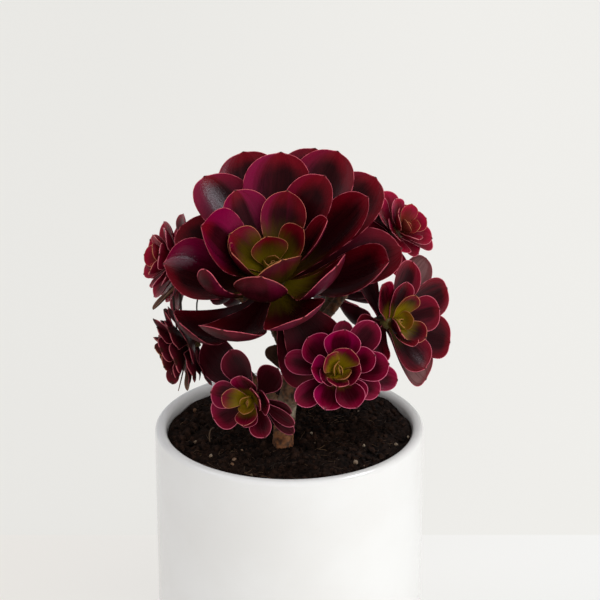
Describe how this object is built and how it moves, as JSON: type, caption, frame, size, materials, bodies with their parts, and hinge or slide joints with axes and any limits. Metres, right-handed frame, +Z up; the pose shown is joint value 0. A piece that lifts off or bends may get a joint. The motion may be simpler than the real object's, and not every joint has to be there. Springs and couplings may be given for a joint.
{
  "type": "potted aeonium",
  "caption": "Tree aeonium with one large dark red rosette and smaller ones on side branches, in a round white glazed pot with soil.",
  "frame": {"origin": "middle of the pot's flat underside", "axes": "+Z up; -Y is the front, where the large rosette leans and the picture was taken from; +X is the right as seen from there"},
  "size_m": [0.1712, 0.1611, 0.2984],
  "materials": {
    "pot": "smooth white glaze",
    "soil": "dark crumbly potting soil, matte",
    "stem": "brown bark with leaf scars, matte",
    "dark_leaf": "waxy, dark burgundy with green heart",
    "rose_leaf": "waxy, crimson with green heart"
  },
  "bodies": {
    "root": {"pot": "pot", "soil": "soil", "stem": "stem", "rosette_main": "dark_leaf", "rosette_front_right": "rose_leaf", "rosette_right": "rose_leaf", "rosette_front_left": "rose_leaf", "rosette_upper_right": "rose_leaf", "rosette_upper_left": "rose_leaf", "rosette_left": "rose_leaf", "rosette_back_right": "rose_leaf", "rosette_back_left": "rose_leaf"}
  },
  "joints": []
}
